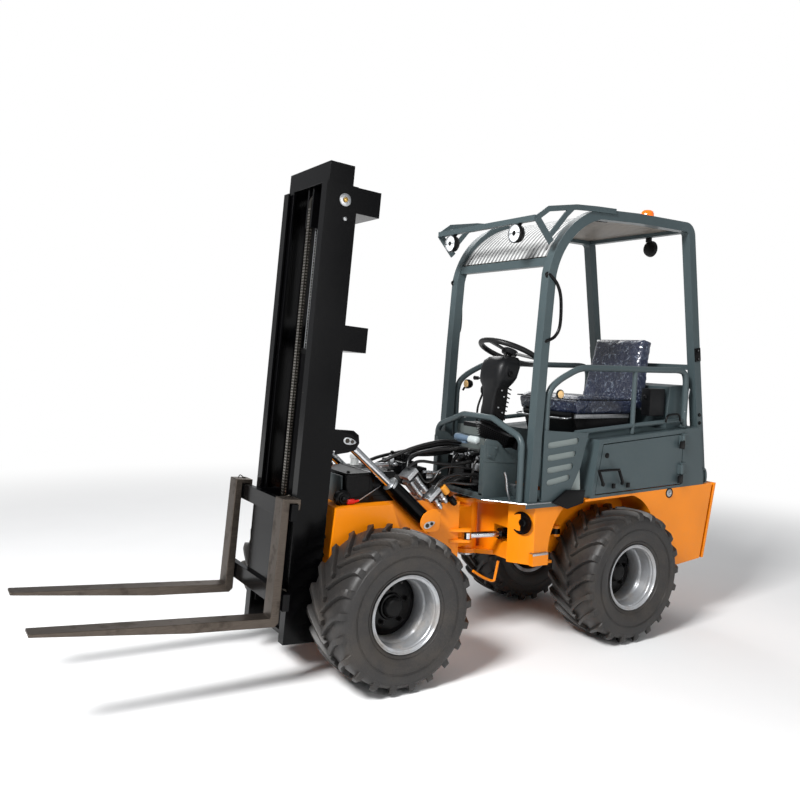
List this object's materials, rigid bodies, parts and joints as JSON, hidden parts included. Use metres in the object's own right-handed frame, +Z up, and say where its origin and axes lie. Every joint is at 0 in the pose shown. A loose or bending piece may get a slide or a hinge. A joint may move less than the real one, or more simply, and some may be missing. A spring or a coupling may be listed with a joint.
{
  "type": "mini forklift",
  "caption": "Compact articulated rough terrain forklift with a telescoping mast, forks, an open canopy over the driver's seat and lugged tyres.",
  "frame": {"origin": "middle of the overall box, on the ground", "axes": "+X forward to the fork tips, +Y left, +Z up"},
  "size_m": [3.553, 1.08, 2.2682],
  "materials": {
    "orange_paint": "gloss",
    "slate_paint": "satin",
    "dark_panel": "satin",
    "mast_black": "gloss",
    "tank_black": "satin",
    "cylinder_black": "gloss",
    "running_gear": "satin",
    "engine_grey": "matte",
    "chrome_rod": "polished",
    "bright_steel": "brushed",
    "chain_steel": "oiled",
    "fork_steel": "worn",
    "rim_silver": "satin",
    "tyre_rubber": "matte",
    "roof_skin": "satin",
    "lamp_black": "gloss",
    "beacon_amber": "clear gloss",
    "seat_black": "satin",
    "seat_vinyl": "satin",
    "moulded_black": "matte",
    "wheel_black": "satin"
  },
  "bodies": {
    "rear": {"rear_axle": "running_gear", "rear_frame": "orange_paint", "tail_plate": "orange_paint", "pivot_pin": "bright_steel", "engine_block": "engine_grey", "hood": "slate_paint", "rear_cover": "slate_paint", "floor_plate": "slate_paint", "console": "dark_panel", "slot_panels": "slate_paint", "canopy_frame": "slate_paint", "roof_panel": "roof_skin", "lamp_bracket": "slate_paint", "work_lamps": "lamp_black", "beacon": "beacon_amber", "handrail_left": "slate_paint", "handrail_right": "slate_paint", "seat_base": "seat_black", "seat_cushion": "seat_vinyl", "seat_back": "seat_vinyl", "seat_bracket": "seat_black", "steering_column": "moulded_black", "steering_wheel": "wheel_black"},
    "front": {"front_frame": "orange_paint", "front_axle": "running_gear", "front_tank": "tank_black"},
    "wheel_rear_left": {"tyre_rear_left": "tyre_rubber", "rim_rear_left": "rim_silver"},
    "wheel_rear_right": {"tyre_rear_right": "tyre_rubber", "rim_rear_right": "rim_silver"},
    "wheel_front_left": {"tyre_front_left": "tyre_rubber", "rim_front_left": "rim_silver"},
    "wheel_front_right": {"tyre_front_right": "tyre_rubber", "rim_front_right": "rim_silver"},
    "mast": {"outer_mast": "mast_black", "lift_barrel": "mast_black"},
    "inner": {"inner_mast": "mast_black", "lift_rod": "chrome_rod", "chain_sheave": "bright_steel", "lift_chain": "chain_steel"},
    "carriage": {"carriage": "mast_black", "fork_left": "fork_steel", "fork_right": "fork_steel"},
    "tilt_barrels": {"tilt_barrels": "cylinder_black"},
    "tilt_rods": {"tilt_rods": "chrome_rod"},
    "steer_barrel": {"steer_barrel": "cylinder_black"},
    "steer_rod": {"steer_rod": "chrome_rod"},
    "door_left": {"side_door_left": "slate_paint"},
    "door_right": {"side_door_right": "slate_paint"}
  },
  "joints": [
    {"name": "spin_rear_left", "type": "hinge", "parent": "rear", "child": "wheel_rear_left", "pos_m": [-1.01955, 0.3875, 0.342], "axis": [0, 1, 0], "continuous": true},
    {"name": "spin_rear_right", "type": "hinge", "parent": "rear", "child": "wheel_rear_right", "pos_m": [-1.01955, -0.3875, 0.342], "axis": [0, 1, 0], "continuous": true},
    {"name": "spin_front_left", "type": "hinge", "parent": "front", "child": "wheel_front_left", "pos_m": [0.35045, 0.3875, 0.342], "axis": [0, 1, 0], "continuous": true},
    {"name": "spin_front_right", "type": "hinge", "parent": "front", "child": "wheel_front_right", "pos_m": [0.35045, -0.3875, 0.342], "axis": [0, 1, 0], "continuous": true},
    {"name": "articulation", "type": "hinge", "parent": "rear", "child": "front", "pos_m": [-0.33455, 0, 0.57], "axis": [0, 0, 1], "range_deg": [-38, 38]},
    {"name": "mast_tilt", "type": "hinge", "parent": "front", "child": "mast", "pos_m": [0.57045, 0, 0.285], "axis": [0, 1, 0], "range_deg": [-4, 8]},
    {"name": "mast_lift", "type": "slide", "parent": "mast", "child": "inner", "axis": [-0.0698, 0, 0.9976], "range_m": [-0.085, 1.09]},
    {"name": "carriage_lift", "type": "slide", "parent": "inner", "child": "carriage", "axis": [-0.0698, 0, 0.9976], "range_m": [-0.0851, 1.0901]},
    {"name": "tilt_barrel_swing", "type": "hinge", "parent": "front", "child": "tilt_barrels", "pos_m": [0.03645, 0, 0.64], "axis": [0, 1, 0], "range_deg": [-4, 8]},
    {"name": "tilt_rod_slide", "type": "slide", "parent": "tilt_barrels", "child": "tilt_rods", "axis": [0.7513, 0, 0.6599], "range_m": [-0.05, 0.095]},
    {"name": "steer_barrel_swing", "type": "hinge", "parent": "rear", "child": "steer_barrel", "pos_m": [-0.70955, 0.262, 0.556], "axis": [0, 0, 1], "range_deg": [-8, 8]},
    {"name": "steer_rod_slide", "type": "slide", "parent": "steer_barrel", "child": "steer_rod", "axis": [0.9835, -0.181, 0], "range_m": [-0.125, 0.125]},
    {"name": "door_left_swing", "type": "hinge", "parent": "rear", "child": "door_left", "pos_m": [-1.46155, 0.426, 0.95], "axis": [0, 0, 1], "range_deg": [0, 100]},
    {"name": "door_right_swing", "type": "hinge", "parent": "rear", "child": "door_right", "pos_m": [-1.46155, -0.426, 0.95], "axis": [0, 0, -1], "range_deg": [0, 100]}
  ],
  "couplings": [
    {"joint": "carriage_lift", "follows": "mast_lift", "ratio": 1},
    {"joint": "tilt_barrel_swing", "follows": "mast_tilt", "ratio": 0.71},
    {"joint": "tilt_rod_slide", "follows": "mast_tilt", "m_per_rad": 0.61334},
    {"joint": "steer_barrel_swing", "follows": "articulation", "ratio": 0.1638},
    {"joint": "steer_rod_slide", "follows": "articulation", "m_per_rad": -0.18479}
  ]
}
